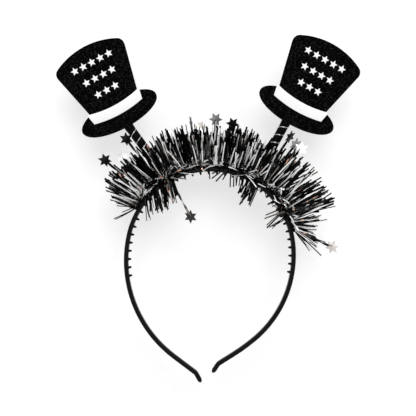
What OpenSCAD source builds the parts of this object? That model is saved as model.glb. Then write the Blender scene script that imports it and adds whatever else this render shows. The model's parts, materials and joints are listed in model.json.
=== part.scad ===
// Party headband: a toothed plastic band that carries two flat mini top hats
// on sprung, ribbon-wound stems and a tinsel garland with foil star charms.
// Upright as worn, in millimetres: +Z up, X from ear to ear, the front faces -Y.
// The origin is the middle of the circle that the crown of the band follows.
// Pairs of values are for the left and the right side, as seen from the front.

/* [Band] */
// Radius of the crown, to the middle of the band's thickness
crown_r = 54; // [44:0.5:66]
// Width of the band over the crown, front to back
band_w = 8; // [6.5:0.5:12]
// Width of the band at its tips
tip_w = 5.5; // [4:0.5:7]
// Thickness of the band
band_t = 2.9; // [1.8:0.1:3.5]
// Heading where the crown arc ends on each side, degrees from the top
crown_end = [77, 84.5]; // [64:0.5:86]
// Radius of each side below the crown arc
side_r = [77.6, 71]; // [60:0.2:90]
// Heading where each side arc ends, degrees
side_end = [140, 140]; // [122:1:140]
// Radius of each lower leg
leg_r = [100, 125]; // [80:5:150]
// Heading of each leg's straight run, degrees
leg_end = [143, 148]; // [141:1:150]
// Distance of each tip's end from the middle
tip_x = [6, 1.3]; // [1:0.1:8]
// Outward kink of the tips, degrees
tip_kink = 24; // [0:1:35]
// Length of the tips beyond the kink
tip_len = 6; // [3:0.5:8]

/* [Teeth] */
// Spacing of the teeth along the inner face
tooth_pitch = 5.5; // [4:0.05:8]
// Rows of teeth on each side of the top row
tooth_n = 18; // [8:1:20]
// Distance of the top row from the top of the crown, to the right
tooth_shift = -1.1; // [-2:0.1:2]
// Length of a tooth
tooth_len = 1.8; // [1:0.1:3]
// Width of a tooth at its root
tooth_root = 1.8; // [1:0.1:2]
// Width of a tooth at its end
tooth_end = 0.7; // [0.4:0.1:1]
// Distance between the two teeth of a row, front to back
tooth_gap = 4.2; // [2.4:0.1:4.6]

/* [Stems] */
// Where each stem stands on the crown, degrees from the top
stem_foot = [30, 31.5]; // [24:0.5:38]
// Lean of each stem from upright, degrees
stem_lean = [36.5, 28.5]; // [24:0.5:40]
// Length of a stem from the middle of the band to the brim
stem_len = 44; // [36:0.5:56]
// Outer diameter of the spring inside a stem
spring_d = 4.7; // [3.4:0.05:5]
// Diameter of the spring's wire
wire_d = 0.75; // [0.5:0.05:0.9]
// Turns of a spring
spring_turns = 17; // [8:1:18]
// Width of the ribbon wound round a spring
ribbon_w = 4.8; // [2:0.1:4.8]
// Thickness of the ribbon in its middle
ribbon_t = 0.4; // [0.3:0.05:0.6]
// Least spacing of the ribbon's turns
ribbon_step = 5.45; // [5.45:0.01:9]
// Diameter of the bosses that a spring stands between
boss_d = 5.6; // [4:0.1:6]
// Height of the boss above the outer face of the band
boss_h = 1.6; // [1:0.1:3]
// Length of the pegs that enter a spring
peg_len = 6.5; // [4:0.5:9]

/* [Hats] */
// Tilt of each hat from upright, degrees
hat_tilt = [28.5, 29.5]; // [20:0.5:40]
// How far each hat sits outwards of its stem
hat_out = [1.2, 2]; // [0:0.1:3]
// Height of a hat
hat_h = 58.8; // [48:0.2:72]
// Width of the top of the crown before its corners are rounded
top_w = 54; // [44:0.5:60]
// Width of the crown where it goes behind the brim
base_w = 31; // [26:0.5:38]
// Radius of the crown's domed top
top_r = 48.5; // [40:0.5:80]
// Radius of the crown's corners
corner_r = 5; // [2:0.5:8]
// Width of the brim
brim_w = 54; // [46:0.5:66]
// Height of the brim
brim_h = 20; // [16:0.5:24]
// Thickness of the felt at the front
front_t = 1.6; // [1:0.1:3]
// Thickness of the card inside
card_t = 1.2; // [0.8:0.1:2]
// Thickness of the felt at the back
back_t = 1.2; // [0.8:0.1:2]
// Height of the white hat band
hat_band_h = 6.8; // [4:0.2:8]
// Lowest point of the hat band above the brim's edge
hat_band_z = 9.1; // [7:0.1:11]
// Radius of the sag of the hat band
hat_band_r = 69; // [50:1:120]
// Thickness of the hat band
hat_band_t = 0.5; // [0.3:0.1:1]
// Width of the plug's blade inside the card
blade_w = 6; // [4:0.5:10]
// Height of the plug's blade inside the card
blade_h = 16; // [10:0.5:24]

/* [Stars on the hats] */
// Stars in each row, from the top row down
star_rows = [5, 4, 3]; // [1:1:5]
// Height of the lowest row above the brim's edge
star_row_z = 27; // [25:0.5:30]
// Distance between rows
star_row_gap = 10.2; // [8:0.2:11]
// Distance between the stars of a row
star_gap = 6.2; // [5.8:0.1:7]
// Radius of a star's points
star_r = 2.8; // [1.5:0.1:2.8]
// Thickness of a star
star_t = 0.2; // [0.1:0.05:0.5]

/* [Garland] */
// Where the garland ends on each side, degrees from the top
garland_end = [60, 76]; // [50:1:76]
// Pieces that the garland is built from
tinsel_n = 9; // [6:1:12]
// Foil strips in the whole garland
strip_n = 430; // [340:1:480]
// Longest reach of a strip
strip_len = 24; // [16:0.5:25]
// Longest reach of a strip that points to the head
strip_in = 8; // [4:0.5:9]
// Furthest sideways lean of a strip, degrees
strip_splay = 12; // [0:1:12]
// Width of a strip
strip_w = 1; // [0.6:0.1:1.2]
// Thickness of a strip
strip_t = 0.2; // [0.1:0.01:0.22]
// Radius of the garland's core
core_r = 1.2; // [0.8:0.1:1.4]

/* [Star charms] */
// Radius of a charm's points
charm_r = 4.6; // [2.5:0.1:4.8]
// Thickness of a charm
charm_t = 0.3; // [0.2:0.05:0.6]
// Diameter of a charm's stalk
stalk_d = 0.5; // [0.4:0.05:0.7]

/* [Hidden] */
// Clearance between pieces that slip over or seat on each other
fit = 0.15;
// Clearance between the garland's core and the band
seat = 0.25;
// Overlap that fuses the shapes of one piece
sink = 0.3;
sides = [-1, 1];
side_names = ["left", "right"];
hat_pieces = ["spring", "ribbon", "plug", "card", "front", "back", "band", "stars"];
// Foot angle, lift towards the front, sideways lean, reach and turn of each charm
charms = [
    [-36.4, 4, 0, 35.1, 15],
    [-48.6, 6, 0, 34.3, 10],
    [-28.6, 180, 0, 29.5, 20],
    [-8.4, 3, 0, 28.8, 78],
    [2.3, 5, 0, 30, 12],
    [9.8, 10, 0, 28.3, 0],
    [34.5, 4, 0, 34.7, 55],
    [38.2, 2, 0, 32.8, 40],
    [41, 9, 0, 32.8, 0],
    [garland_end[1], 10, 36, 26, 8],
    [-42.5, -20, 0, 30.7, 0],
    [-4.7, -15, 0, 27, 10]
];

// Tubes swept through rings of points

function tube_points(rings) = [for (ring = rings) for (p = ring) p];

function tube_faces(n, m) = concat(
    [for (k = [1:m - 2]) [0, k, k + 1]],
    [for (k = [1:m - 2]) [(n - 1) * m, (n - 1) * m + k + 1, (n - 1) * m + k]],
    [for (i = [0:n - 2]) for (k = [0:m - 1])
        [i * m + k, (i + 1) * m + k, (i + 1) * m + (k + 1) % m]],
    [for (i = [0:n - 2]) for (k = [0:m - 1])
        [i * m + k, (i + 1) * m + (k + 1) % m, i * m + (k + 1) % m]]
);

module tube(rings) {
    polyhedron(tube_points(rings), tube_faces(len(rings), len(rings[0])), convexity = 10);
}

// Least distance between points of rings that lie one turn apart
function turn_gap(rings, per_turn) = min([
    for (i = [0:len(rings) - 1])
        for (j = [i + per_turn - 1:i + per_turn + 1])
            if (j < len(rings))
                for (a = rings[i])
                    for (b = rings[j])
                        norm(a - b)
]);

// The line of the band: stations of x, z and heading, from the top outwards

function arc_to(p, h, r, steps) = [
    for (i = [1:steps])
        let (now = p[2] + (h - p[2]) * i / steps)
            [p[0] + r * (sin(now) - sin(p[2])), p[1] + r * (cos(now) - cos(p[2])), now]
];

function line_to(p, length, steps) = [
    for (i = [1:steps])
        [p[0] + length * i / steps * cos(p[2]), p[1] - length * i / steps * sin(p[2]), p[2]]
];

function last(list) = list[len(list) - 1];

kink_r = 5;
// Degrees between the stations of the arcs, and steps along the lower parts
arc_step = 3.5;
leg_steps = 4;
tip_steps = 6;

function side_line(s) =
    let (
        top = [0, crown_r, 0],
        crown = arc_to(top, crown_end[s], crown_r, ceil(crown_end[s] / arc_step)),
        side_steps = ceil((side_end[s] - crown_end[s]) / arc_step),
        side = arc_to(last(crown), side_end[s], side_r[s], side_steps),
        leg = arc_to(last(side), leg_end[s], leg_r[s], leg_steps),
        tip_h = leg_end[s] - tip_kink,
        kink_x = kink_r * (sin(leg_end[s]) - sin(tip_h)),
        run = (last(leg)[0] - tip_x[s] + kink_x + tip_len * cos(tip_h)) / -cos(leg_end[s]),
        straight = line_to(last(leg), run, leg_steps),
        kink = arc_to(last(straight), tip_h, -kink_r, leg_steps),
        tip = line_to(last(kink), tip_len, tip_steps)
    )
    concat(crown, side, leg, straight, kink, tip);

// Width of the band at a heading: it narrows from the crown's end to the tips
function width_at(i, n, from) =
    i < from ? band_w : band_w + (tip_w - band_w) * (i - from) / (n - from);

// Rounds off the last part of a tip
tip_round = 2.6;
tip_least = 0.25;
function tip_scale(left) =
    left >= tip_round ? 1 : max(sqrt(1 - pow(1 - left / tip_round, 2)), tip_least);

function section(width, size) =
    let (r = band_t / 2 * size, half = width / 2 * size - r)
    concat(
        [for (k = [0:4]) [r * cos(45 * k), half + r * sin(45 * k)]],
        [for (k = [0:4]) [-r * cos(45 * k), -half - r * sin(45 * k)]]
    );

function band_ring(p, side, width, size) = [
    for (q = section(width, size))
        [side * (p[0] + q[0] * sin(p[2])), q[1], p[1] + q[0] * cos(p[2])]
];

function side_rings(s) =
    let (
        line = side_line(s),
        n = len(line),
        from = ceil(crown_end[s] / arc_step),
        end = last(line)
    )
    [for (i = [0:n - 1])
        band_ring(line[i], sides[s], width_at(i, n - 1, from),
            tip_scale(norm([line[i][0] - end[0], line[i][1] - end[1]])))];

function reversed(list) = [for (i = [len(list) - 1:-1:0]) list[i]];

// Point and heading at a distance along the crown and side arcs
function station(s, along) =
    let (crown_len = crown_r * crown_end[s] * PI / 180, top = [0, crown_r, 0])
    along <= crown_len
        ? last(arc_to(top, along / crown_r * 180 / PI, crown_r, 1))
        : last(arc_to(last(arc_to(top, crown_end[s], crown_r, 1)),
            crown_end[s] + (along - crown_len) / side_r[s] * 180 / PI, side_r[s], 1));

// Frames that pieces are drawn in

// Stem frame: the middle of the band at the stem's foot, with Z along the stem
function foot(s) = crown_r * [sides[s] * sin(stem_foot[s]), 0, cos(stem_foot[s])];
function stem_dir(s) = [sides[s] * sin(stem_lean[s]), 0, cos(stem_lean[s])];

module stem_frame(s) {
    translate(foot(s)) rotate([0, sides[s] * stem_lean[s], 0]) children();
}

// Hat frame: X across the hat, Y up it from the brim's edge, Z to the front
module hat_frame(s) {
    translate(foot(s) + stem_len * stem_dir(s))
        rotate([0, sides[s] * hat_tilt[s], 0])
            rotate([90, 0, 0])
                translate([sides[s] * hat_out[s], 0, 0])
                    children();
}

// Garland frame: X outwards from the core at an angle from the top, Z to the front
core_reach = band_t / 2 + core_r + seat;
garland_r = crown_r + core_reach * sin(45);
garland_front = band_w / 2 - band_t / 2 + core_reach * cos(45);

module garland_frame(angle) {
    rotate([90, 0, 0]) rotate(90 - angle) translate([garland_r, 0, garland_front]) children();
}

// Band with its teeth and the boss and peg under each stem

boss_top = band_t / 2 + boss_h;
peg_d = spring_d - 2 * wire_d - 2 * fit;
slice = 0.02;

module tooth() {
    hull() {
        translate([0, 0, sink - band_t / 2])
            cube([tooth_root, tooth_root, slice], center = true);
        translate([0, 0, -tooth_len - band_t / 2])
            cube([tooth_end, tooth_end, slice], center = true);
    }
}

module tooth_row(along) {
    s = along < 0 ? 0 : 1;
    p = station(s, abs(along));
    for (y = [-tooth_gap / 2, tooth_gap / 2])
        translate([sides[s] * p[0], y, p[1]]) rotate([0, sides[s] * p[2], 0]) tooth();
}

module stem_boss(s) {
    stem_frame(s) {
        cylinder(d = boss_d, h = boss_top, $fn = 24);
        cylinder(d = peg_d, h = boss_top + peg_len, $fn = 16);
    }
}

module headband() {
    top_ring = [band_ring([0, crown_r, 0], 1, band_w, 1)];
    color([0.05, 0.05, 0.06]) union() {
        tube(concat(reversed(side_rings(1)), top_ring, side_rings(0)));
        for (k = [-tooth_n:tooth_n]) tooth_row(k * tooth_pitch + tooth_shift);
        for (s = [0, 1]) stem_boss(s);
    }
}

// Spring and ribbon of a stem

spring_from = boss_top + fit;
collar_h = 1.2;
collar_gap = 0.45;
spring_to = stem_len - collar_gap - collar_h - fit;
spring_r = (spring_d - wire_d) / 2;
spring_pitch = (spring_to - spring_from - 2 * wire_d) / spring_turns;
curl_rings = 8;
wire_sides = 6;

// A ring of wire at a turn, with its tangent at a slope from level
function wire_ring(turn, z, slope) = [
    for (k = [0:wire_sides - 1])
        let (
            a = 360 * k / wire_sides,
            r = spring_r + wire_d / 2 * cos(a),
            b = wire_d / 2 * sin(a),
            t = 360 * turn
        )
        [
            r * cos(t) - b * sin(slope) * sin(t),
            r * sin(t) + b * sin(slope) * cos(t),
            z - b * cos(slope)
        ]
];

spring_slope = atan(spring_pitch / (2 * PI * spring_r));
bend_slope = (90 + spring_slope) / 2;
spring_rings = concat(
    [wire_ring(0, spring_from, 90), wire_ring(0, spring_from + wire_d, bend_slope)],
    [for (i = [1:spring_turns * curl_rings - 1])
        let (turn = i / curl_rings)
            wire_ring(turn, spring_from + wire_d + turn * spring_pitch, spring_slope)],
    [wire_ring(spring_turns, spring_to - wire_d, bend_slope),
        wire_ring(spring_turns, spring_to, 90)]
);

module spring(s) {
    color([0.75, 0.75, 0.77]) stem_frame(s) tube(spring_rings);
}

loop_rings = 24;
ribbon_tail = 1;
ribbon_edge = 0.2;
ribbon_r = spring_d / 2 + fit;
tail_turn = ribbon_tail / (2 * PI * ribbon_r);
ribbon_run = spring_to - spring_from - ribbon_w;
ribbon_turns = floor(ribbon_run / ribbon_step - 2 * tail_turn);
ribbon_pitch = ribbon_run / (ribbon_turns + 2 * tail_turn);
ribbon_from = spring_from + ribbon_w / 2 + tail_turn * ribbon_pitch;

// Flat inside, thin at both edges and full in its middle
ribbon_section = [
    [0, ribbon_w / 2],
    [ribbon_edge, ribbon_w / 2],
    [ribbon_t, ribbon_w / 4],
    [ribbon_t, -ribbon_w / 4],
    [ribbon_edge, -ribbon_w / 2],
    [0, -ribbon_w / 2]
];

// A ring of ribbon at a turn, pushed along its run by a tail
function ribbon_ring(turn, tail) = [
    for (q = ribbon_section)
        let (
            r = ribbon_r + q[0],
            t = 360 * turn,
            climb = (turn + tail / ribbon_tail * tail_turn) * ribbon_pitch
        )
        [r * cos(t) - tail * sin(t), r * sin(t) + tail * cos(t), ribbon_from + climb + q[1]]
];

ribbon_rings = concat(
    [ribbon_ring(0, -ribbon_tail)],
    [for (i = [0:ribbon_turns * loop_rings]) ribbon_ring(i / loop_rings, 0)],
    [ribbon_ring(ribbon_turns, ribbon_tail)]
);

module ribbon(s) {
    color([0.06, 0.06, 0.07]) stem_frame(s) tube(ribbon_rings);
}

echo(spring_gap = turn_gap(spring_rings, curl_rings));
echo(ribbon_gap = turn_gap(ribbon_rings, loop_rings));

// Hat: felt front and back on a card, with a plug that joins it to the stem

blade_t = card_t - fit;

module crown_outline() {
    offset(corner_r, $fn = 48) offset(-corner_r) intersection() {
        polygon([
            [-base_w / 2, brim_h / 2],
            [base_w / 2, brim_h / 2],
            [top_w / 2, hat_h],
            [-top_w / 2, hat_h]
        ]);
        translate([0, hat_h - top_r]) circle(top_r, $fn = 96);
    }
}

module brim_outline() {
    polygon([for (a = [0:5:355]) [brim_w / 2 * cos(a), brim_h / 2 * (1 + sin(a))]]);
}

module hat_outline() {
    crown_outline();
    brim_outline();
}

module front(s) {
    color([0.07, 0.07, 0.08]) hat_frame(s)
        translate([0, 0, card_t / 2]) linear_extrude(front_t) hat_outline();
}

module back(s) {
    color([0.07, 0.07, 0.08]) hat_frame(s)
        translate([0, 0, -card_t / 2 - back_t]) linear_extrude(back_t) hat_outline();
}

module card(s) {
    slot_w = blade_w + 2 * fit;
    color([0.45, 0.4, 0.34]) hat_frame(s) difference() {
        translate([0, 0, -card_t / 2]) linear_extrude(card_t) hat_outline();
        translate([-sides[s] * hat_out[s] - slot_w / 2, -1, -card_t])
            cube([slot_w, blade_h + fit + 1, 2 * card_t]);
    }
}

module plug(s) {
    collar_top = stem_len - collar_gap;
    color([0.1, 0.1, 0.11]) union() {
        stem_frame(s) {
            translate([0, 0, collar_top - collar_h])
                cylinder(d = boss_d, h = collar_h, $fn = 48);
            translate([0, 0, collar_top - collar_h - peg_len])
                cylinder(d = peg_d, h = peg_len + sink, $fn = 32);
        }
        hat_frame(s)
            translate([-sides[s] * hat_out[s] - blade_w / 2, -collar_gap - sink, -blade_t / 2])
                cube([blade_w, blade_h + collar_gap + sink, blade_t]);
    }
}

module band(s) {
    wrap = 0.4;
    middle = hat_band_z + hat_band_h + hat_band_r;
    color("white") hat_frame(s) translate([0, 0, card_t / 2 + front_t]) linear_extrude(hat_band_t)
        intersection() {
            polygon([
                [-base_w / 2 - wrap, brim_h / 2 - hat_band_h],
                [base_w / 2 + wrap, brim_h / 2 - hat_band_h],
                [top_w / 2 + wrap, hat_h],
                [-top_w / 2 - wrap, hat_h]
            ]);
            difference() {
                translate([0, middle]) circle(hat_band_r + hat_band_h, $fn = 128);
                translate([0, middle]) circle(hat_band_r, $fn = 128);
            }
        }
}

// Radius of a star between its points, as a share of the points' radius
star_waist = 0.45;
charm_waist = 0.52;

function star_points(n, r, waist) = [
    for (i = [0:2 * n - 1])
        let (q = i % 2 == 0 ? r : r * waist, a = 90 + 180 * i / n)
        [q * cos(a), q * sin(a)]
];

module stars(s) {
    rows = len(star_rows);
    color("white") hat_frame(s) translate([0, 0, card_t / 2 + front_t])
        for (row = [0:rows - 1])
            for (i = [0:star_rows[row] - 1])
                translate([
                    (i - (star_rows[row] - 1) / 2) * star_gap,
                    star_row_z + (rows - 1 - row) * star_row_gap
                ])
                    linear_extrude(star_t) polygon(star_points(5, star_r, star_waist));
}

// Garland: a core along the front edge of the crown, with foil strips square to it

core_sides = 8;
garland_from = -garland_end[0];
garland_span = garland_end[0] + garland_end[1];
// Strips keep this far from a stem, in degrees, where they point backwards
stem_keep = 11;
// Strips keep this far from the ends of a piece or zone, and from a stalk that points their way
end_keep = (strip_w / 2 + fit) * 180 / PI / garland_r;
stalk_room = 1.75;
stalk_keep = (strip_w / 2 + stalk_d / 2 + stalk_room) * 180 / PI / garland_r;
stalk_fan = 30;
// The crown stays bare of strips that point to the head up to here, in degrees
bare_to = [33, 40];

// Lift of the strips from straight outwards: to the back, to the front and round to the head
lift_back = -78;
lift_front = 95;
lift_head = 176;
// Strips lifted past this point to the head
lift_in = 110;
// Shortest strips, as shares of the longest
least_out = 0.65;
least_in = 0.75;

// Even spread of numbers from 0 to 1, with a step of its own for lifts, reaches and leans
lift_step = 0.618034;
reach_step = 0.7549;
lean_step = 0.56984;
function spread(i, step) = i * step - floor(i * step);

function strip_angle(i) = garland_from + garland_span * (i + 0.5) / strip_n;

// Where a stem passes the middle of the strips, in degrees from the top
function stem_angle(s) =
    let (p = foot(s) + strip_len / 2 * stem_dir(s))
    atan2(p[0], p[2]);

function near_stem(a) =
    abs(a - stem_angle(0)) < stem_keep || abs(a - stem_angle(1)) < stem_keep;

// Edges of the zones that the lift of the strips changes at
zone_edges = concat(
    [for (s = [0, 1]) for (side = sides) stem_angle(s) + side * stem_keep],
    [-bare_to[0], bare_to[1]]
);

function near_edge(a) = min([for (edge = zone_edges) abs(a - edge)]) < end_keep;

function near_stalk(a, lift) =
    len([for (c = charms) if (abs(a - c[0]) < stalk_keep && abs(lift - c[1]) < stalk_fan) c]) > 0;

function strip_lift(i, a) =
    let (
        low = near_stem(a) ? 0 : lift_back,
        high = a > -bare_to[0] && a < bare_to[1] ? lift_front : lift_head
    )
    low + (high - low) * spread(i, lift_step);

function strip_reach(i, lift) =
    lift > lift_in
        ? strip_in * (least_in + (1 - least_in) * spread(i, reach_step))
        : strip_len * (least_out + (1 - least_out) * spread(i, reach_step));

module strip(i) {
    a = strip_angle(i);
    lift = strip_lift(i, a);
    lean = strip_splay * (2 * spread(i, lean_step) - 1);
    garland_frame(a) rotate([0, -lift, 0]) rotate(-lean)
        translate([0, -strip_w / 2, -strip_t / 2])
            cube([core_r + strip_reach(i, lift), strip_w, strip_t]);
}

module tinsel(n) {
    span = garland_span / tinsel_n;
    from = garland_from + (n - 1) * span;
    color([0.16, 0.16, 0.18]) union() {
        rotate([90, 0, 0]) rotate(90 - from - span) translate([0, 0, garland_front])
            rotate_extrude(angle = span, $fn = 180)
                translate([garland_r, 0]) circle(core_r, $fn = core_sides);
        for (i = [0:strip_n - 1]) {
            a = strip_angle(i);
            inside = a > from + end_keep && a < from + span - end_keep;
            if (inside && !near_edge(a) && !near_stalk(a, strip_lift(i, a))) strip(i);
        }
    }
}

// Charm: a six-pointed foil star on a stalk that stands on the core
module charm(n) {
    spec = charms[n - 1];
    reach = spec[3];
    from = core_r + fit;
    color([0.55, 0.55, 0.57]) garland_frame(spec[0])
        rotate([0, 0, -spec[2]]) rotate([0, -spec[1], 0]) rotate([spec[4], 0, 0]) union() {
            translate([from, 0, 0]) rotate([0, 90, 0])
                cylinder(d = stalk_d, h = reach - from, $fn = 24);
            translate([reach, 0, -charm_t / 2]) linear_extrude(charm_t)
                polygon(star_points(6, charm_r, charm_waist));
        }
}

headband();
for (i = [1:tinsel_n]) {
    tinsel(i);
}
for (i = [1:len(charms)]) {
    charm(i);
}
for (s = [0, 1]) {
    spring(s);
    ribbon(s);
    plug(s);
    card(s);
    front(s);
    back(s);
    band(s);
    stars(s);
}
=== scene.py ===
# Party headband: black toothed band, two flat mini top hats on wound stems, tinsel with star charms
import json
import math
import random

import bmesh
import bpy
from mathutils import Matrix, Vector


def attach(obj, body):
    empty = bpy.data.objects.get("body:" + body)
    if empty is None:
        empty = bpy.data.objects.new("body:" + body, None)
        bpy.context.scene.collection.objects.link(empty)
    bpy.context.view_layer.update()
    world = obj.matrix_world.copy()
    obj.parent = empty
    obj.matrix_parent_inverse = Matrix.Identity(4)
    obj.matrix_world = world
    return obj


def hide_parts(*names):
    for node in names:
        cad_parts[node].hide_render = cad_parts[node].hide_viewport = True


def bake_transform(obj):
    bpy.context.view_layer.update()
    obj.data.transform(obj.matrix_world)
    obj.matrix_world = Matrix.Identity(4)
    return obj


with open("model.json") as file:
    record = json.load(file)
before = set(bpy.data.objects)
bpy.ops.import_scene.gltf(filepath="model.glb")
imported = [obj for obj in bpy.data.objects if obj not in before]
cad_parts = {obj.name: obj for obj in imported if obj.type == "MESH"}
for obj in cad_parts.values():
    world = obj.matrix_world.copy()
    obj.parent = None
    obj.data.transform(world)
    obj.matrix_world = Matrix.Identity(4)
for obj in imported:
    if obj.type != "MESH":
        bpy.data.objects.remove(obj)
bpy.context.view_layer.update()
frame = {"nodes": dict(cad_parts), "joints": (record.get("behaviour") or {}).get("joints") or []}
mm = 0.001
deg = math.radians
hair = 0.001 * mm  # slack when points are picked by their place
facing = 0.9  # how squarely a face looks along an axis when it is picked
sideNames = ("left", "right")
sideSigns = (-1, 1)
towards = Vector((0, -1, 0))  # to the viewer
joints = {joint["name"]: joint for joint in frame["joints"]}
print("frame loaded:", len(frame["nodes"]), "nodes")


# hand tools

def choose(*objs):  # selects only these, the first one active
    if bpy.context.mode != "OBJECT":
        bpy.ops.object.mode_set(mode="OBJECT")
    bpy.ops.object.select_all(action="DESELECT")
    for obj in objs:
        obj.select_set(True)
    bpy.context.view_layer.objects.active = objs[0]


def edit(obj):
    choose(obj)
    bpy.ops.object.mode_set(mode="EDIT")


def editAll(obj):  # edit mode with everything selected
    edit(obj)
    bpy.ops.mesh.select_all(action="SELECT")


def pick(obj, kind, test):  # in edit mode: selects the verts, edges or faces that pass the test
    bpy.ops.mesh.select_mode(type={"verts": "VERT", "edges": "EDGE", "faces": "FACE"}[kind])
    bpy.ops.mesh.select_all(action="DESELECT")
    shape = bmesh.from_edit_mesh(obj.data)
    for item in getattr(shape, kind):
        item.select_set(bool(test(item)))
    shape.select_flush_mode()
    bmesh.update_edit_mesh(obj.data)


def fresh(name):  # names the object that an operator has just added
    obj = bpy.context.object
    obj.name = obj.data.name = name
    return obj


def settle(obj):  # moves the place of an object into its mesh
    choose(obj)
    bpy.ops.object.transform_apply(location=True, rotation=True, scale=True)


def shaped(obj, kind, **settings):  # adds a modifier and applies it
    choose(obj)
    modifier = obj.modifiers.new(kind.lower(), kind)
    for key, value in settings.items():
        setattr(modifier, key, value)
    bpy.ops.object.modifier_apply(modifier=modifier.name)


def outward(obj):  # turns all faces outwards
    editAll(obj)
    bpy.ops.mesh.normals_make_consistent(inside=False)
    choose(obj)


def wound(obj, axis, rise, turns, steps):  # screws a section along an axis and closes its ends
    shaped(obj, "SCREW", axis=axis, angle=2 * math.pi, screw_offset=rise / turns, iterations=turns,
           steps=steps, render_steps=steps, use_smooth_shade=True)
    editAll(obj)
    bpy.ops.mesh.fill_holes(sides=0)
    outward(obj)


def unitStrip(name, cuts):  # a flat strip along X, one unit long, wide and thick
    bpy.ops.mesh.primitive_cube_add(size=1, location=(0.5, 0, 0))
    obj = fresh(name)
    settle(obj)
    edit(obj)
    pick(obj, "edges", lambda e: abs(e.verts[0].co.x - e.verts[1].co.x) > hair)
    bpy.ops.mesh.subdivide(number_cuts=cuts)
    choose(obj)
    return obj


def smooth(obj, angle):
    choose(obj)
    bpy.ops.object.shade_smooth_by_angle(angle=deg(angle))


def copyOf(obj, name, matrix=None):  # a copy with a mesh of its own, moved in its mesh
    copy = bpy.data.objects.new(name, obj.data.copy())
    bpy.context.scene.collection.objects.link(copy)
    copy.data.name = name
    if matrix:
        copy.data.transform(matrix)
    return copy


def joined(objs):
    choose(*objs)
    bpy.ops.object.join()
    return objs[0]


def drop(*objs):
    for obj in objs:
        bpy.data.objects.remove(obj)


def paint(obj, *finishes):
    obj.data.materials.clear()
    for finish in finishes:
        obj.data.materials.append(finish)


def outAt(angle):  # straight out of the crown, at an angle from the top
    return Vector((math.sin(deg(angle)), 0, math.cos(deg(angle))))


def alongAt(angle):  # along the crown there, clockwise from the front
    return Vector((math.cos(deg(angle)), 0, -math.sin(deg(angle))))


# shader tools

class Wire:  # a socket that takes part in Python sums
    def __init__(self, nodes, socket):
        self.nodes = nodes
        self.socket = socket

    def maths(self, operation, other, swap=False):
        first, second = (other, self) if swap else (self, other)
        return self.nodes.node("Math", {"operation": operation}, {0: first, 1: second})

    def __add__(self, other):
        return self.maths("ADD", other)

    def __sub__(self, other):
        return self.maths("SUBTRACT", other)

    def __rsub__(self, other):
        return self.maths("SUBTRACT", other, True)

    def __mul__(self, other):
        return self.maths("MULTIPLY", other)

    def __lt__(self, other):
        return self.maths("LESS_THAN", other)

    def __gt__(self, other):
        return self.maths("GREATER_THAN", other)

    __radd__ = __add__
    __rmul__ = __mul__


class Nodes:  # the nodes of a material or a world
    def __init__(self, owner):
        owner.use_nodes = True
        self.tree = owner.node_tree

    def node(self, kind, settings=None, values=None, out=0):
        made = self.tree.nodes.new("ShaderNode" + kind)
        for key, value in (settings or {}).items():
            setattr(made, key, value)
        for key, value in (values or {}).items():
            self.feed(made.inputs[key], value)
        return Wire(self, made.outputs[out])

    def feed(self, socket, value):
        if isinstance(value, Wire):
            self.tree.links.new(value.socket, socket)
        else:
            socket.default_value = value

    def seen(self):  # rays that see the background: the camera's, also by way of metal or glass
        camera, glossy, through = [self.node("LightPath", out="Is " + kind + " Ray")
                                   for kind in ("Camera", "Glossy", "Transmission")]
        return camera + glossy + through


class Finish(Nodes):  # a material, with what is the same all over it
    def __init__(self, name, **fixed):
        self.material = bpy.data.materials.new(name)
        super().__init__(self.material)
        self.shader = self.tree.nodes["Principled BSDF"]
        self.place = self.node("TexCoord", out="Object")
        for key, value in fixed.items():
            self.set(key, value)

    def set(self, name, value):
        self.feed(self.shader.inputs[name], value)

    def noise(self, scale, detail=3, roughness=0.5, place=None):
        return self.node("TexNoise", {}, {"Vector": place or self.place, "Scale": scale,
                                          "Detail": detail, "Roughness": roughness}, "Fac")

    def cells(self, scale):
        return self.node("TexVoronoi", {}, {"Vector": self.place, "Scale": scale}, "Distance")

    def mixed(self, amount, first, second):
        return self.node("Mix", {"data_type": "RGBA"}, {0: amount, 6: first, 7: second}, 2)

    def stretched(self, scale, turn=(0, 0, 0)):
        return self.node("Mapping", {}, {"Vector": self.place, "Scale": scale, "Rotation": turn})

    def bump(self, height, strength, distance):
        self.set("Normal", self.node("Bump", {}, {"Height": height, "Strength": strength,
                                                  "Distance": distance}))


def grey(level, warm=0.0):
    return (level * (1 + warm), level, level * (1 - warm), 1)


def between(limits, share):
    return limits[0] + (limits[1] - limits[0]) * share


# finishes (rough is the range of roughness, level the specular level, strength and depth the bump's)

def makeBandPlastic():
    look = dict(dark=0.0015, pale=0.004, rough=(0.16, 0.3), level=0.08, cloud=90, scuff=(1400, 160, 160),
                grain=2200, cloudBump=0.6, strength=0.12, depth=0.05 * mm)
    finish = Finish("bandPlastic", **{"Specular IOR Level": look["level"]})
    cloud = finish.noise(look["cloud"], detail=4)
    scuff = finish.noise(1, detail=5, roughness=0.7, place=finish.stretched(look["scuff"]))
    finish.set("Base Color", finish.mixed(cloud, grey(look["dark"]), grey(look["pale"])))
    finish.set("Roughness", between(look["rough"], scuff))
    grain = finish.noise(look["grain"], detail=2)
    finish.bump(grain + look["cloudBump"] * cloud, look["strength"], look["depth"])
    return finish.material


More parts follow.
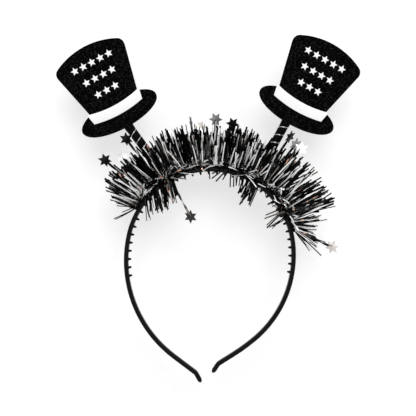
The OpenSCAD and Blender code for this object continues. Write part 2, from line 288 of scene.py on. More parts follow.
def makeFelt(name, dark, pale, fleck, fleckShare, level):
    look = dict(fibre=1700, clump=330, fleck=950, fleckSize=0.42, fibreShare=0.7, rough=(0.86, 1),
                clumpBump=0.8, strength=0.5, depth=0.12 * mm)
    finish = Finish(name, **{"Specular IOR Level": level})
    fibre = finish.noise(look["fibre"], detail=5, roughness=0.65)
    clump = finish.noise(look["clump"])
    spot = finish.cells(look["fleck"])
    chosen = finish.noise(look["fleck"], detail=0) > 1 - fleckShare
    nap = fibre * look["fibreShare"] + clump * (1 - look["fibreShare"])
    base = finish.mixed(nap, grey(dark), grey(pale))
    finish.set("Base Color", finish.mixed((spot < look["fleckSize"]) * chosen, base, grey(fleck)))
    finish.set("Roughness", between(look["rough"], fibre))
    finish.bump(fibre + look["clumpBump"] * clump, look["strength"], look["depth"])
    return finish.material


def makeFoil(name, dark, pale, rough, warm=0.0, paintedGlint=0.0, metal=1.0):
    look = dict(crinkle=420, streak=150, glint=300, glintCopper=(0.86, 0.46, 0.32, 1),
                strength=0.35, depth=0.15 * mm)
    finish = Finish(name, Metallic=metal)
    crinkle = finish.noise(look["crinkle"], roughness=0.6)
    streak = finish.noise(look["streak"], detail=2)
    base = finish.mixed(streak, grey(dark, warm), grey(pale, warm))
    if paintedGlint:  # painted reflection: small copper patches in the base colour stand in for coloured glints on the foil
        base = finish.mixed(finish.noise(look["glint"], detail=1) > 1 - paintedGlint, base, look["glintCopper"])
    finish.set("Base Color", base)
    finish.set("Roughness", between(rough, crinkle))
    finish.bump(crinkle, look["strength"], look["depth"])
    return finish.material


def makeSatin():
    look = dict(dark=0.0005, pale=0.003, rough=(0.34, 0.56), level=0.025, thread=(260, 260, 2600), slant=30,
                shade=500, strength=0.4, depth=0.06 * mm)
    finish = Finish("ribbonSatin", **{"Specular IOR Level": look["level"]})
    thread = finish.noise(1, detail=2, place=finish.stretched(look["thread"], (0, deg(look["slant"]), 0)))
    shade = finish.noise(look["shade"])
    finish.set("Base Color", finish.mixed(shade, grey(look["dark"]), grey(look["pale"])))
    finish.set("Roughness", between(look["rough"], thread))
    finish.bump(thread, look["strength"], look["depth"])
    return finish.material


def makeSteel():
    look = dict(dark=0.78, pale=0.95, rough=(0.26, 0.46), drawn=900)
    finish = Finish("springSteel", Metallic=1.0)
    drawn = finish.noise(look["drawn"])
    finish.set("Base Color", finish.mixed(drawn, grey(look["dark"]), grey(look["pale"])))
    finish.set("Roughness", between(look["rough"], drawn))
    return finish.material


def makeBoard():
    look = dict(dark=(0.05, 0.046, 0.042, 1), pale=(0.14, 0.128, 0.115, 1), rough=(0.8, 0.95), level=0.2,
                pulp=(500, 3000, 500), strength=0.4, depth=0.08 * mm)
    finish = Finish("hatBoard", **{"Specular IOR Level": look["level"]})
    pulp = finish.noise(1, detail=5, roughness=0.6, place=finish.stretched(look["pulp"]))
    finish.set("Base Color", finish.mixed(pulp, look["dark"], look["pale"]))
    finish.set("Roughness", between(look["rough"], pulp))
    finish.bump(pulp, look["strength"], look["depth"])
    return finish.material


def makePlugPlastic():
    look = dict(dark=0.002, pale=0.006, rough=(0.5, 0.7), level=0.08, grain=1500, strength=0.2, depth=0.04 * mm)
    finish = Finish("plugPlastic", **{"Specular IOR Level": look["level"]})
    grain = finish.noise(look["grain"])
    finish.set("Base Color", finish.mixed(grain, grey(look["dark"]), grey(look["pale"])))
    finish.set("Roughness", between(look["rough"], grain))
    finish.bump(grain, look["strength"], look["depth"])
    return finish.material


bandPlastic = makeBandPlastic()
hatFelt = makeFelt("hatFelt", dark=0.0003, pale=0.0034, fleck=0.017, fleckShare=0.5, level=0.0)
trimFelt = makeFelt("trimFelt", dark=0.97, pale=1, fleck=1, fleckShare=0.4, level=0.1)
blackFoil = makeFoil("blackFoil", 0.0006, 0.009, (0.14, 0.34))
smokeFoil = makeFoil("smokeFoil", 0.06, 0.26, (0.18, 0.38), warm=0.1, paintedGlint=0.37)
silverFoil = makeFoil("silverFoil", 0.88, 0.99, (0.24, 0.42), paintedGlint=0.29)
# painted highlight: partly diffuse white foil, its pale colour standing in for lamp glints on foil strips
brightFoil = makeFoil("brightFoil", 0.95, 0.99, (0.22, 0.4), metal=0.4)
# painted highlight: grey metal for the strip that stands in for the light on the ribbon's edges
edgeFoil = makeFoil("edgeFoil", 0.26, 0.5, (0.2, 0.4))
charmBlackFoil = makeFoil("charmBlackFoil", 0.001, 0.007, (0.22, 0.4))
# painted light and shade: the grey stars share one grey foil, made here as a shaded, a plain and a lit copy.
# Two silver stars get a darker, warm, patchy copy of the silver foil. Each copy is set by how that star caught
# the light
charmDarkFoil = makeFoil("charmDarkFoil", 0.02, 0.05, (0.3, 0.45))
charmGreyFoil = makeFoil("charmGreyFoil", 0.08, 0.15, (0.3, 0.45))
charmPaleFoil = makeFoil("charmPaleFoil", 0.22, 0.36, (0.3, 0.45))
charmBeigeFoil = makeFoil("charmBeigeFoil", 0.26, 0.75, (0.2, 0.4), warm=0.06)
charmSilverFoil = makeFoil("charmSilverFoil", 0.85, 0.98, (0.3, 0.45))
ribbonSatin = makeSatin()
springSteel = makeSteel()
hatBoard = makeBoard()
plugPlastic = makePlugPlastic()
print("finishes made:", len(bpy.data.materials))


# band: a rounded section swept from the top down each side (pairs are left, right)

band = dict(
    crownR=54 * mm, width=8 * mm, tipWidth=5.5 * mm, thick=2.9 * mm,
    crownEnd=(77, 84.5), sideR=(77.6 * mm, 71 * mm), sideEnd=(140, 140),
    legR=(100 * mm, 125 * mm), legEnd=(143, 148), tipX=(6 * mm, 1.3 * mm),
    kink=24, kinkR=5 * mm, tipLen=6 * mm, tipRound=2.6 * mm, tipLeast=0.25,
    sectionSides=20, turnStep=2.5, legSteps=5, kinkSteps=6, tipSteps=12, crease=42,
)
teeth = dict(
    pitch=5.5 * mm, rows=18, shift=-1.1 * mm, gap=4.2 * mm,
    length=1.8 * mm, sunk=0.4 * mm, root=1 * mm, end=0.42 * mm, sides=8, edge=0.22 * mm, edgeSteps=2,
)


def bandMoves(s):  # (kind, radius or length, heading at the end, steps) down one side
    steps = lambda turn: max(2, round(abs(turn) / band["turnStep"]))
    crownEnd, sideEnd, legEnd = band["crownEnd"][s], band["sideEnd"][s], band["legEnd"][s]
    tipHeading = legEnd - band["kink"]
    x = band["crownR"] * math.sin(deg(crownEnd))
    x += band["sideR"][s] * (math.sin(deg(sideEnd)) - math.sin(deg(crownEnd)))
    x += band["legR"][s] * (math.sin(deg(legEnd)) - math.sin(deg(sideEnd)))
    kinkX = band["kinkR"] * (math.sin(deg(legEnd)) - math.sin(deg(tipHeading)))
    lastX = band["tipLen"] * math.cos(deg(tipHeading))
    run = (x - band["tipX"][s] + kinkX + lastX) / -math.cos(deg(legEnd))
    return [
        ("turn", band["crownR"], crownEnd, steps(crownEnd)),
        ("turn", band["sideR"][s], sideEnd, steps(sideEnd - crownEnd)),
        ("turn", band["legR"][s], legEnd, steps(legEnd - sideEnd)),
        ("run", run, legEnd, band["legSteps"]),
        ("turn", -band["kinkR"], tipHeading, band["kinkSteps"]),
        ("run", band["tipLen"], tipHeading, band["tipSteps"]),
    ]


def bandStation(s, along):  # place and heading at a distance from the top, on the arcs that carry teeth
    here, heading = Vector((0, 0, band["crownR"])), 0
    for kind, size, goal, steps in bandMoves(s):
        turn = min(along / size, deg(goal - heading))
        middle = here - size * outAt(heading)
        heading += math.degrees(turn)
        here = middle + size * outAt(heading)
        along -= turn * size
        if along < hair:
            break
    return Vector((sideSigns[s] * here.x, 0, here.z)), heading


def sweepSide(s):
    side = sideSigns[s]
    moves = bandMoves(s)
    headings = [0] + [move[2] for move in moves]
    lengths = [abs(size * deg(goal - start)) if kind == "turn" else size
               for (kind, size, goal, steps), start in zip(moves, headings)]
    taperFrom, whole = lengths[0], sum(lengths)
    here, heading, gone, width, shrink = Vector((0, 0, band["crownR"])), 0, 0, band["width"], 1
    for (kind, size, goal, steps), start, length in zip(moves, headings, lengths):
        for step in range(steps):
            if kind == "turn":
                nextHeading = heading + (goal - start) / steps
                middle = here - size * outAt(side * heading)
                bpy.ops.mesh.spin(steps=1, angle=-side * deg(nextHeading - heading),
                                  center=middle, axis=(0, 1, 0))
                heading = nextHeading
                here = middle + size * outAt(side * heading)
            else:
                move = side * size / steps * alongAt(side * goal)
                bpy.ops.mesh.extrude_region_move(TRANSFORM_OT_translate={"value": move})
                here = here + move
            gone += length / steps
            share = max(0, (gone - taperFrom) / (whole - taperFrom))
            nextWidth = between((band["width"], band["tipWidth"]), share)
            left = max(0, whole - gone)
            nextShrink = 1
            if left < band["tipRound"]:
                rounded = math.sqrt(max(0, 1 - (1 - left / band["tipRound"]) ** 2))
                nextShrink = max(rounded, band["tipLeast"])
            ratio = nextShrink / shrink
            bpy.ops.transform.resize(value=(ratio, ratio * nextWidth / width, ratio), center_override=here)
            width, shrink = nextWidth, nextShrink
    bpy.ops.mesh.edge_face_add()


def makeBand():
    bpy.ops.mesh.primitive_circle_add(vertices=band["sectionSides"], radius=band["thick"] / 2,
                                      location=(0, 0, band["crownR"]), rotation=(0, deg(90), 0))
    obj = fresh("band")
    settle(obj)
    edit(obj)
    spread = (band["width"] - band["thick"]) / 2
    for sign in sideSigns:
        pick(obj, "verts", lambda v: v.co.y * sign > hair)
        bpy.ops.transform.translate(value=(0, sign * spread, 0))
    for s in (0, 1):
        pick(obj, "verts", lambda v: abs(v.co.x) < hair and v.co.z > 0)  # the section at the top
        sweepSide(s)
    outward(obj)
    return obj


def makeTooth():
    bpy.ops.mesh.primitive_cone_add(vertices=teeth["sides"], radius1=teeth["root"], radius2=teeth["end"],
                                    depth=teeth["length"] + teeth["sunk"])
    obj = fresh("tooth")
    edit(obj)
    tip = max(v.co.z for v in obj.data.vertices)
    pick(obj, "edges", lambda e: all(v.co.z > tip - hair for v in e.verts))
    bpy.ops.mesh.bevel(offset=teeth["edge"], segments=teeth["edgeSteps"], affect="EDGES")
    choose(obj)
    return obj


def toothRows():
    tooth = makeTooth()
    middle = (teeth["length"] + teeth["sunk"]) / 2
    down = band["thick"] / 2 - teeth["sunk"] + middle
    lower = Matrix.Rotation(math.pi, 4, "X") @ Matrix.Translation((0, 0, down))
    rows = []
    for k in range(-teeth["rows"], teeth["rows"] + 1):
        along = k * teeth["pitch"] + teeth["shift"]
        s = 0 if along < 0 else 1
        spot, heading = bandStation(s, abs(along))
        turn = Matrix.Rotation(sideSigns[s] * deg(heading), 4, "Y")
        for sign in sideSigns:
            move = Matrix.Translation(spot + Vector((0, sign * teeth["gap"] / 2, 0)))
            rows.append(copyOf(tooth, "toothCopy", move @ turn @ lower))
    drop(tooth)
    return rows


# stems: a boss on the band, a spring, a wound ribbon with a grey metal strip in its gaps as a painted highlight
# on its edges, and a short wrap under the hat

stem = dict(
    foot=(30, 31.5), lean=(36.5, 28.5), length=44 * mm, crease=50,
    bossD=5.6 * mm, bossTop=3.05 * mm, bossSides=32, bossEdge=0.3 * mm, bossEdgeSteps=3,
    pegD=2.9 * mm, pegLen=6.5 * mm,
    springFrom=3.2 * mm, springTo=42.2 * mm, springR=1.975 * mm, wire=0.75 * mm, wireSides=8, coils=17,
    ribbonR=2.48 * mm, ribbonW=5 * mm, ribbonT=0.46 * mm, corner=0.12 * mm, cornerSteps=2,
    turns=6, turnSteps=32, phase=(-182, 62),
    edgeR=2.6 * mm, edgeW=0.6 * mm, edgeT=0.2 * mm, edgeCorner=0.08 * mm,
    wrapR=2.84 * mm, wrapFrom=41.7 * mm, wrapTo=43.9 * mm, wrapT=0.26 * mm,
    straight=1.6, nodOver=14 * mm,  # foot kept straight, in springFrom, and length over which the nod builds up
    swing=25, room=3.9 * mm,  # the joints' limit, and the room that strips leave round a stem
)


def stemMatrix(s):
    foot = band["crownR"] * outAt(sideSigns[s] * stem["foot"][s])
    return Matrix.Translation(foot) @ Matrix.Rotation(sideSigns[s] * deg(stem["lean"][s]), 4, "Y")


def makeBoss(s):
    bpy.ops.mesh.primitive_cylinder_add(vertices=stem["bossSides"], radius=stem["bossD"] / 2,
                                        depth=stem["bossTop"], location=(0, 0, stem["bossTop"] / 2))
    obj = fresh("boss")
    settle(obj)
    edit(obj)
    pick(obj, "faces", lambda f: f.normal.z > facing)
    bpy.ops.mesh.bevel(offset=stem["bossEdge"], segments=stem["bossEdgeSteps"], affect="EDGES")
    pick(obj, "faces", lambda f: f.normal.z > facing and f.calc_center_median().xy.length < hair)
    bpy.ops.mesh.inset(thickness=stem["bossD"] / 2 - stem["bossEdge"] - stem["pegD"] / 2)
    bpy.ops.mesh.extrude_region_move(TRANSFORM_OT_translate={"value": (0, 0, stem["pegLen"])})
    choose(obj)
    obj.data.transform(stemMatrix(s))
    return obj


def roundSection(name, half, middle):  # the wire's section
    bpy.ops.mesh.primitive_circle_add(vertices=stem["wireSides"], radius=half, location=middle,
                                      rotation=(deg(90), 0, 0))
    obj = fresh(name)
    settle(obj)
    return obj


def flatSection(name, thick, wide, corner, inner, low):  # a ribbon's section, with rounded corners
    bpy.ops.mesh.primitive_plane_add(size=2, rotation=(deg(90), 0, 0))
    obj = fresh(name)
    settle(obj)
    editAll(obj)
    bpy.ops.transform.resize(value=(thick / 2, 1, wide / 2))
    bpy.ops.transform.translate(value=(inner + thick / 2, 0, low + wide / 2))
    bpy.ops.mesh.bevel(offset=corner, segments=stem["cornerSteps"], affect="VERTICES")
    bpy.ops.mesh.select_all(action="SELECT")
    bpy.ops.mesh.delete(type="ONLY_FACE")
    choose(obj)
    return obj


def cutFlush(obj, low, high):  # trims both ends of a winding square to the stem
    for level, above in ((low, True), (high, False)):
        editAll(obj)
        bpy.ops.mesh.bisect(plane_co=(0, 0, level), plane_no=(0, 0, 1), use_fill=True,
                            clear_inner=above, clear_outer=not above)
    outward(obj)


def bentStem(obj, s, finish, node):  # splits a stem piece where it bends into a lower and an upper half
    name = sideNames[s]
    obj.data.transform(stemMatrix(s))
    pivot = Vector(joints[name + "_sway"]["pos_m"])
    up = (stemMatrix(s).to_3x3() @ Vector((0, 0, 1))).normalized()
    lower, upper = copyOf(obj, obj.name + "Lower"), copyOf(obj, obj.name + "Upper")
    for half, above in ((lower, False), (upper, True)):
        editAll(half)
        bpy.ops.mesh.bisect(plane_co=pivot, plane_no=up, use_fill=True,
                            clear_inner=above, clear_outer=not above)
        outward(half)
        smooth(half, stem["crease"])
        paint(half, finish)
        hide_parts(node)
    foot = stemMatrix(s).translation
    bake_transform(lower)
    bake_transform(upper)
    drop(obj)


def makeStem(s):
    name = sideNames[s]
    wire = stem["wire"] / 2
    rise = stem["springTo"] - stem["springFrom"]
    spring = roundSection(name + "Spring", wire, (stem["springR"], 0, stem["springFrom"] + wire))
    wound(spring, "Z", rise - 2 * wire, stem["coils"], stem["turnSteps"])
    bentStem(spring, s, springSteel, name + "_spring")
    pitch = (rise - stem["ribbonW"]) / stem["turns"]
    turns = stem["turns"] + 2  # one more at each end, cut off again
    ribbonLow = stem["springFrom"] - pitch
    edgeLow = ribbonLow + (stem["ribbonW"] + pitch - stem["edgeW"]) / 2
    ribbon = flatSection(name + "Ribbon", stem["ribbonT"], stem["ribbonW"], stem["corner"],
                         stem["ribbonR"], ribbonLow)
    # painted highlight: a grey metal strip wound in the gaps between the ribbon's turns stands in for the light
    # caught by the ribbon's edges
    edgeGlint = flatSection(name + "Edging", stem["edgeT"], stem["edgeW"], stem["edgeCorner"],
                         stem["edgeR"], edgeLow)
    for obj in (ribbon, edgeGlint):
        wound(obj, "Z", pitch * turns, turns, stem["turnSteps"])
        obj.data.transform(Matrix.Rotation(deg(stem["phase"][s]), 4, "Z"))
        cutFlush(obj, stem["springFrom"], stem["springTo"])
    wrap = flatSection("wrap", stem["wrapT"], stem["wrapTo"] - stem["wrapFrom"], stem["corner"],
                       stem["wrapR"], stem["wrapFrom"])
    wound(wrap, "Z", 0, 1, stem["turnSteps"])
    bentStem(joined([ribbon, wrap]), s, ribbonSatin, name + "_ribbon")
    bentStem(edgeGlint, s, edgeFoil, name + "_ribbon")


bandPiece = joined([makeBand()] + toothRows() + [makeBoss(0), makeBoss(1)])
smooth(bandPiece, band["crease"])
paint(bandPiece, bandPlastic)
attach(bandPiece, "headband")
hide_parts("headband")
print("band swept:", len(bandPiece.data.polygons), "faces")
for s in (0, 1):
    makeStem(s)
print("stems wound")


# hats: felt, hat band and stars take the outlines of their solids and get rounded edges

hat = dict(merge=0.004 * mm, level=0.6, sharp=70, edgeSteps=3, crease=35)
hatPieces = (  # node, edge, finish, slot
    ("front", 0.42 * mm, hatFelt, "hat_felt"),
    ("back", 0.42 * mm, hatFelt, "hat_felt"),
    ("band", 0.16 * mm, trimFelt, "hat_trim"),
    ("stars", 0.07 * mm, trimFelt, "hat_trim"),
)


def roundedCopy(node, name, edge):
    obj = copyOf(frame["nodes"][node], name)
    choose(obj)
    bpy.ops.mesh.customdata_custom_splitnormals_clear()
    editAll(obj)
    bpy.ops.mesh.remove_doubles(threshold=hat["merge"])
    bpy.ops.mesh.dissolve_limited(angle_limit=deg(hat["level"]))
    pick(obj, "edges", lambda e: len(e.link_faces) == 2 and e.calc_face_angle() > deg(hat["sharp"])
         and max(abs(f.normal.y) for f in e.link_faces) > facing)
    bpy.ops.mesh.bevel(offset=edge, segments=hat["edgeSteps"], affect="EDGES", clamp_overlap=True)
    smooth(obj, hat["crease"])
    return obj


for s in (0, 1):
    name = sideNames[s]
    for node, edge, finish, slot in hatPieces:
        piece = roundedCopy(name + "_" + node, name + "Hat" + node.title(), edge)
        paint(piece, finish)
        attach(piece, name + "_hat")
        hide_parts(name + "_" + node)
    paint(frame["nodes"][name + "_card"], hatBoard)
    paint(frame["nodes"][name + "_plug"], plugPlastic)
print("hats rounded")


# garland: twisted core with foil strips, in nine pieces along the crown (angles are from the top)

tinsel = dict(
    seed=23, ends=(-60, 76), full=(-56, 68), pieces=9, radius=56.051 * mm, front=4.601 * mm, crease=30,
    coreR=1.2 * mm, strands=3, wire=0.55 * mm, wireSides=8, lay=0.64 * mm, twist=6 * mm, twistSteps=10,
    thick=0.1 * mm, cuts=4, bow=1.2 * mm, root=0.5, endOn=0.2,
    # one value for each foil: black, smoke, silver, bright (partly a painted highlight)
    roll=(42, 42, 30, 18), narrow=(1, 0.8, 0.62, 0.68), forward=(0, 0, 8, 15),
    shares=(0.745, 0.08, 0.065, 0.11), inwardShares=(0.92, 0.08, 0, 0),
    looseShares=(0.58, 0.1, 0.1, 0.22), drapedShares=(0.45, 0.05, 0.2, 0.3),
    # strips that stand out of the crown
    strips=1040, tries=14, width=(0.75 * mm, 1.4 * mm), reach=(18 * mm, 28.5 * mm),
    more=(1, 1.09), moreFrom=40, endReach=(0.5, 0.85), endWidth=0.6,
    lift=(-70, 62), flat=(8, 20), flatShare=0.55, lean=7, fan=(14, 62), fanOver=8, fanShare=(0.4, 1),
    sparse=((33, 40, 0.2), (48, 60, 0.42), (60, 68, 0.25)),  # from angle, to angle, share left out
    # strips that hang inside the band
    inward=(  # from angle, to angle, count, heading from straight down, reach in mm
        (-60, -57, 4, (-70, -45), (8, 16)), (-50, -42, 14, (-4, 22), (10, 17)),
        (-42, -26, 48, (0, 24), (12, 20)), (-9, -1, 2, (-8, 38), (7, 10)),
        (8, 14, 4, (-60, -25), (8, 12)), (14, 22, 6, (-15, 15), (8, 12)),
        (22, 30, 9, (-40, 0), (8, 15)), (28, 36, 14, (-44, -20), (12, 20)),
        (50, 58, 3, (-70, -40), (6, 9)), (58, 66, 8, (-75, -35), (10, 17)), (71, 76, 7, (12, 62), (10, 24))),
    inwardLift=(2, 22), inwardWidth=(0.5 * mm, 1.1 * mm),
    # short curled strips at the front
    loose=330, looseReach=(4 * mm, 12 * mm), looseWidth=(0.5 * mm, 1 * mm),
    looseOut=(0.2, 1.6), looseForward=(0.3, 1.8), curl=5,
    # bright strips that lie along the front of the band
    draped=((-33, -22, 8), (15, 27, 7), (36, 63, 20)),  # from angle, to angle, count
    drapedReach=(6 * mm, 13 * mm), drapedWidth=(0.45 * mm, 0.75 * mm),
    drapedTilt=50, drapedForward=(0.25, 0.5),
)
tinselFoils = (blackFoil, smokeFoil, silverFoil, brightFoil)


def garlandMatrix(angle):  # X outwards from the core, Z to the front
    return (Matrix.Rotation(deg(90), 4, "X") @ Matrix.Rotation(deg(90 - angle), 4, "Z")
            @ Matrix.Translation((tinsel["radius"], 0, tinsel["front"])))


def makeCore(name, fromAngle, toAngle):
    length = deg(toAngle - fromAngle) * tinsel["radius"]
    turns = max(1, round(length / tinsel["twist"]))
    strands = []
    for k in range(tinsel["strands"]):
        turn = 2 * math.pi * k / tinsel["strands"]
        spot = (0, tinsel["lay"] * math.sin(turn), tinsel["lay"] * math.cos(turn))
        bpy.ops.mesh.primitive_circle_add(vertices=tinsel["wireSides"], radius=tinsel["wire"],
                                          rotation=(0, deg(90), 0), location=spot)
        strand = fresh(name)
        settle(strand)
        wound(strand, "X", length, turns, tinsel["twistSteps"])
        strands.append(strand)
    core = joined(strands)
    for v in core.data.vertices:  # wraps the straight strands round the crown
        angle = fromAngle + math.degrees(v.co.x / tinsel["radius"])
        v.co = garlandMatrix(angle) @ Vector((v.co.z, 0, v.co.y))
    outward(core)
    return core


def nearStem(points):  # true where a strip would pass through a stem or the room that it sways and nods in
    points = points + [(a + b) / 2 for a, b in zip(points, points[1:])]
    for s in (0, 1):
        matrix = stemMatrix(s).inverted()
        pivot = matrix @ Vector(joints[sideNames[s] + "_sway"]["pos_m"])
        for point in points:
            spot = matrix @ point
            past = max(0, spot.z - pivot.z)
            sway = past * math.tan(deg(stem["swing"]))
            nod = sway * min(1, past / stem["nodOver"])
            beside = abs(spot.x) < stem["room"] + sway and abs(spot.y) < stem["room"] + nod
            if beside and 0 < spot.z < stem["length"]:
                return True
    return False


def stripLine(rng, angle, aim, reach, curl=1):  # points along a strip, with its two cross directions
    wide = aim.cross(towards)
    if wide.length < tinsel["endOn"]:  # it points nearly at the viewer
        wide = alongAt(angle)
    deep = wide.cross(aim).normalized()
    wide = aim.cross(deep).normalized()
    bow, hook = [rng.gauss(0, tinsel["bow"]) * curl * reach / tinsel["reach"][1] for k in range(2)]
    start = garlandMatrix(angle).translation
    root = tinsel["root"] * tinsel["coreR"]
    shares = [k / (tinsel["cuts"] + 1) for k in range(tinsel["cuts"] + 2)]
    points = [start + aim * (root + reach * t) + (wide * bow + deep * hook) * t * t for t in shares]
    return points, wide, deep


def anyFoil(rng, shares):
    return rng.choices(range(len(tinselFoils)), shares)[0]


def spacedAngle(rng, low, high, k, count):  # somewhere in the k-th of count equal shares
    return low + (high - low) * (k + rng.random()) / count


def outwardAim(rng, angle, forward):
    flat = rng.random() < tinsel["flatShare"]
    lift = rng.gauss(*tinsel["flat"]) if flat else rng.uniform(*tinsel["lift"])
    lift = deg(min(forward + lift, tinsel["lift"][1]))
    s = 0 if angle < 0 else 1
    past = max(0, 1 - abs(tinsel["ends"][s] - angle) / tinsel["fanOver"])
    lean = rng.gauss(0, tinsel["lean"])
    lean = deg(lean + sideSigns[s] * tinsel["fan"][s] * past * rng.uniform(*tinsel["fanShare"]))
    aim = outAt(angle) * math.cos(lift) + towards * math.sin(lift)
    return aim * math.cos(lean) + alongAt(angle) * math.sin(lean)


def outwardStrips(rng):
    for k in range(tinsel["strips"]):
        angle = spacedAngle(rng, *tinsel["ends"], k, tinsel["strips"])
        if any(a < angle < b and rng.random() < share for a, b, share in tinsel["sparse"]):
            continue
        atEnd = not tinsel["full"][0] < angle < tinsel["full"][1]
        look = anyFoil(rng, tinsel["shares"])
        narrow = tinsel["narrow"][look] * (tinsel["endWidth"] if atEnd else 1)
        for attempt in range(tinsel["tries"]):
            reach = rng.uniform(*tinsel["reach"])
            reach *= rng.uniform(*tinsel["endReach"]) if atEnd else tinsel["more"][angle > tinsel["moreFrom"]]
            line = stripLine(rng, angle, outwardAim(rng, angle, tinsel["forward"][look]), reach)
            if not nearStem(line[0]):
                yield angle, line, rng.uniform(*tinsel["width"]) * narrow, look
                break


def inwardStrips(rng):
    for fromAngle, toAngle, count, headings, reaches in tinsel["inward"]:
        for k in range(count):
            angle = spacedAngle(rng, fromAngle, toAngle, k, count)
            heading, lift = deg(rng.uniform(*headings)), deg(rng.uniform(*tinsel["inwardLift"]))
            down = Vector((math.sin(heading), 0, -math.cos(heading)))
            aim = down * math.cos(lift) + towards * math.sin(lift)
            line = stripLine(rng, angle, aim, rng.uniform(*reaches) * mm)
            yield angle, line, rng.uniform(*tinsel["inwardWidth"]), anyFoil(rng, tinsel["inwardShares"])


def looseStrips(rng):
    for k in range(tinsel["loose"]):
        angle = rng.uniform(*tinsel["full"])
        along = alongAt(angle) * rng.choice(sideSigns)
        out = outAt(angle) * rng.uniform(*tinsel["looseOut"])
        aim = (along + out + towards * rng.uniform(*tinsel["looseForward"])).normalized()
        line = stripLine(rng, angle, aim, rng.uniform(*tinsel["looseReach"]), tinsel["curl"])
        if not nearStem(line[0]):
            yield angle, line, rng.uniform(*tinsel["looseWidth"]), anyFoil(rng, tinsel["looseShares"])


def drapedStrips(rng):
    for fromAngle, toAngle, count in tinsel["draped"]:
        for k in range(count):
            angle = spacedAngle(rng, fromAngle, toAngle, k, count)
            along = alongAt(angle) * rng.choice(sideSigns)
            tilt = deg(rng.uniform(-1, 1) * tinsel["drapedTilt"])
            forward = towards * rng.uniform(*tinsel["drapedForward"])
            aim = (along * math.cos(tilt) + outAt(angle) * math.sin(tilt) + forward).normalized()
            line = stripLine(rng, angle, aim, rng.uniform(*tinsel["drapedReach"]))
            yield angle, line, rng.uniform(*tinsel["drapedWidth"]), anyFoil(rng, tinsel["drapedShares"])


def tuft(name, strips, strip, rng):  # all strips of one piece, each a bent and rolled copy
    shape = [v.co.copy() for v in strip.data.vertices]
    rings = [round(v.x * (tinsel["cuts"] + 1)) for v in shape]
    sheets = [list(p.vertices) for p in strip.data.polygons]
    verts, faces, looks = [], [], []
    for angle, (points, wide, deep), width, look in strips:
        roll, more = [rng.uniform(-1, 1) * tinsel["roll"][look] for k in range(2)]
        first = len(verts)
        for v, ring in zip(shape, rings):
            turn = deg(roll + more * v.x)
            flat = wide * math.cos(turn) + deep * math.sin(turn)
            thick = deep * math.cos(turn) - wide * math.sin(turn)
            verts.append(points[ring] + flat * v.y * width + thick * v.z * tinsel["thick"])
        faces += [[first + i for i in sheet] for sheet in sheets]
        looks += [look] * len(sheets)
    mesh = bpy.data.meshes.new(name)
    mesh.from_pydata(verts, [], faces)
    obj = bpy.data.objects.new(name, mesh)
    bpy.context.scene.collection.objects.link(obj)
    paint(obj, *tinselFoils)
    for polygon, look in zip(mesh.polygons, looks):
        polygon.material_index = look
    return obj


rng = random.Random(tinsel["seed"])
strip = unitStrip("strip", tinsel["cuts"])
strips = []
for makeStrips in (outwardStrips, inwardStrips, looseStrips, drapedStrips):
    strips += makeStrips(rng)
span = (tinsel["ends"][1] - tinsel["ends"][0]) / tinsel["pieces"]
for k in range(tinsel["pieces"]):
    fromAngle = tinsel["ends"][0] + k * span
    own = [one for one in strips if fromAngle <= one[0] < fromAngle + span]
    piece = tuft("tinsel" + str(k + 1), own, strip, rng)
    core = makeCore("core", fromAngle, fromAngle + span)
    paint(core, blackFoil)
    piece = joined([piece, core])
    outward(piece)
    smooth(piece, tinsel["crease"])
    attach(piece, "headband")
    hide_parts("tinsel_" + str(k + 1))
drop(strip)
print("tinsel made:", len(strips), "strips")


# charms: six-pointed foil stars on twisted stalks

charm = dict(
    points=6, radius=4.6 * mm, waist=0.52, thick=0.3 * mm, dome=0.28 * mm, crease=12,
    stalkW=1.6 * mm, stalkT=0.3 * mm, stalkTwist=400, stalkFrom=1.35 * mm, stalkCuts=24,
)
charms = (  # foot angle, lift, lean, reach in mm, turn, foil, slot
    (-36.4, 4, 0, 35.1, 15, charmBlackFoil, "black"),
    (-48.6, 6, 0, 34.3, 10, charmBlackFoil, "black"),
    (-28.6, 180, 0, 29.5, 20, charmDarkFoil, "grey"),
    (-8.4, 3, 0, 28.8, 78, charmBlackFoil, "black"),
    (2.3, 5, 0, 30, 12, charmGreyFoil, "grey"),
    (9.8, 10, 0, 28.3, 0, charmBlackFoil, "black"),
    (34.5, 4, 0, 34.7, 55, charmBlackFoil, "black"),
    (38.2, 2, 0, 32.8, 40, charmPaleFoil, "grey"),
    (41, 9, 0, 32.8, 0, charmSilverFoil, "silver"),
    (76, 10, 36, 26, 8, charmBeigeFoil, "silver"),
    (-42.5, -20, 0, 30.7, 0, charmSilverFoil, "silver"),
    (-4.7, -15, 0, 27, 10, charmBeigeFoil, "silver"),
)


def makeStar():
    bpy.ops.mesh.primitive_circle_add(vertices=2 * charm["points"], radius=charm["radius"], fill_type="NGON")
    obj = fresh("star")
    edit(obj)
    step = 180 / charm["points"]
    pick(obj, "verts", lambda v: round(math.degrees(math.atan2(v.co.y, v.co.x)) / step) % 2 == 0)
    bpy.ops.transform.resize(value=(charm["waist"], charm["waist"], 1))
    bpy.ops.mesh.select_all(action="SELECT")
    bpy.ops.transform.translate(value=(0, 0, -charm["thick"] / 2))
    bpy.ops.mesh.extrude_region_move(TRANSFORM_OT_translate={"value": (0, 0, charm["thick"])})
    outward(obj)
    edit(obj)
    for sign in sideSigns:
        pick(obj, "faces", lambda f: f.normal.z * sign > facing)
        bpy.ops.mesh.poke(offset=charm["dome"])
    choose(obj)
    return obj


def makeStalk(reach):
    obj = unitStrip("stalk", charm["stalkCuts"])
    length = reach - charm["stalkFrom"]
    obj.data.transform(Matrix.Diagonal((length, charm["stalkW"], charm["stalkT"], 1)))
    shaped(obj, "SIMPLE_DEFORM", deform_method="TWIST", deform_axis="X", angle=deg(charm["stalkTwist"]))
    obj.data.transform(Matrix.Translation((charm["stalkFrom"], 0, 0)))
    return obj


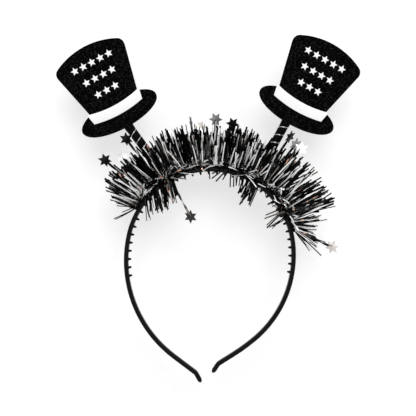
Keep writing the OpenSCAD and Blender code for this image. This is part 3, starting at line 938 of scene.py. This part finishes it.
star = makeStar()
for k, (angle, lift, lean, reach, turn, foil, slot) in enumerate(charms):
    tip = copyOf(star, "charm" + str(k + 1), Matrix.Translation((reach * mm, 0, 0)))
    stalk = makeStalk(reach * mm)
    paint(tip, foil)
    paint(stalk, smokeFoil if lift > 90 else blackFoil)  # the one that hangs down has a paler stalk
    piece = joined([tip, stalk])
    piece.data.transform(garlandMatrix(angle) @ Matrix.Rotation(deg(-lean), 4, "Z")
                         @ Matrix.Rotation(deg(-lift), 4, "Y") @ Matrix.Rotation(deg(turn), 4, "X"))
    smooth(piece, charm["crease"])
    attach(piece, "headband")
    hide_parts("charm_" + str(k + 1))
drop(star)
print("charms made:", len(charms))


# stage, light and camera

stage = dict(wallY=0.048, floorZ=-0.122, size=2.4, white=0.62, lift=0.5, world=0.52)
lamps = (  # name, place, aim, size, watts
    ("keyLamp", (0.12, -1.5, 0.6), (0, 0, 0.03), 0.8, 11.5),
    ("topLamp", (-0.3, -0.4, 1.2), (0, 0, 0.05), 0.8, 3),
)


def makeWallFinish():  # white to the camera, with the object's shadow, and clear from behind
    finish = Finish("stageWhite", Roughness=1.0, **{
        "Base Color": grey(stage["white"]), "Specular IOR Level": 0.0, "Emission Strength": stage["lift"]})
    finish.set("Emission Color", finish.mixed(finish.seen(), grey(0), grey(1)))
    clear = finish.node("BsdfTransparent")
    back = finish.node("NewGeometry", out="Backfacing")
    final = finish.node("MixShader", {}, {0: back, 1: Wire(finish, finish.shader.outputs[0]), 2: clear})
    finish.feed(finish.tree.nodes["Material Output"].inputs["Surface"], final)
    return finish.material


def makeWorld():  # lights the object softly and looks white
    world = bpy.data.worlds.new("studio")
    sky = Nodes(world)
    sky.tree.nodes.remove(sky.tree.nodes["Background"])
    soft, white = [sky.node("Background", {}, {"Color": grey(1), "Strength": strength})
                   for strength in (stage["world"], 1)]
    final = sky.node("MixShader", {}, {0: sky.seen(), 1: soft, 2: white})
    sky.feed(sky.tree.nodes["World Output"].inputs["Surface"], final)
    return world


bpy.ops.mesh.primitive_plane_add(size=stage["size"], location=(0, stage["wallY"], 0), rotation=(deg(90), 0, 0))
wall = fresh("wall")
bpy.ops.mesh.primitive_plane_add(size=stage["size"], location=(0, 0, stage["floorZ"]))
floor = fresh("floor")
stageWhite = makeWallFinish()
for obj in (wall, floor):
    settle(obj)
    paint(obj, stageWhite)
wall.visible_shadow = False  # the floor behind it stays light

bpy.context.scene.world = makeWorld()
for name, place, aim, size, watts in lamps:
    bpy.ops.object.light_add(type="AREA", location=place)
    lamp = bpy.context.object
    lamp.name = name
    lamp.data.size = size
    lamp.data.energy = watts
    lamp.rotation_euler = (Vector(aim) - Vector(place)).to_track_quat("-Z", "Y").to_euler()

view = dict(lens=85, sensor=36, frame=416, scale=0.65 * mm, middle=(210.3, 252.5))  # the origin, in pixels
across = view["frame"] * view["scale"]
bpy.ops.object.camera_add(
    location=((view["frame"] / 2 - view["middle"][0]) * view["scale"],
              -across * view["lens"] / view["sensor"],
              (view["middle"][1] - view["frame"] / 2) * view["scale"]),
    rotation=(deg(90), 0, 0))
camera = bpy.context.object
camera.data.lens = view["lens"]
camera.data.sensor_width = view["sensor"]
bpy.context.scene.camera = camera
bpy.context.scene.view_settings.view_transform = "Standard"
print("stage set")
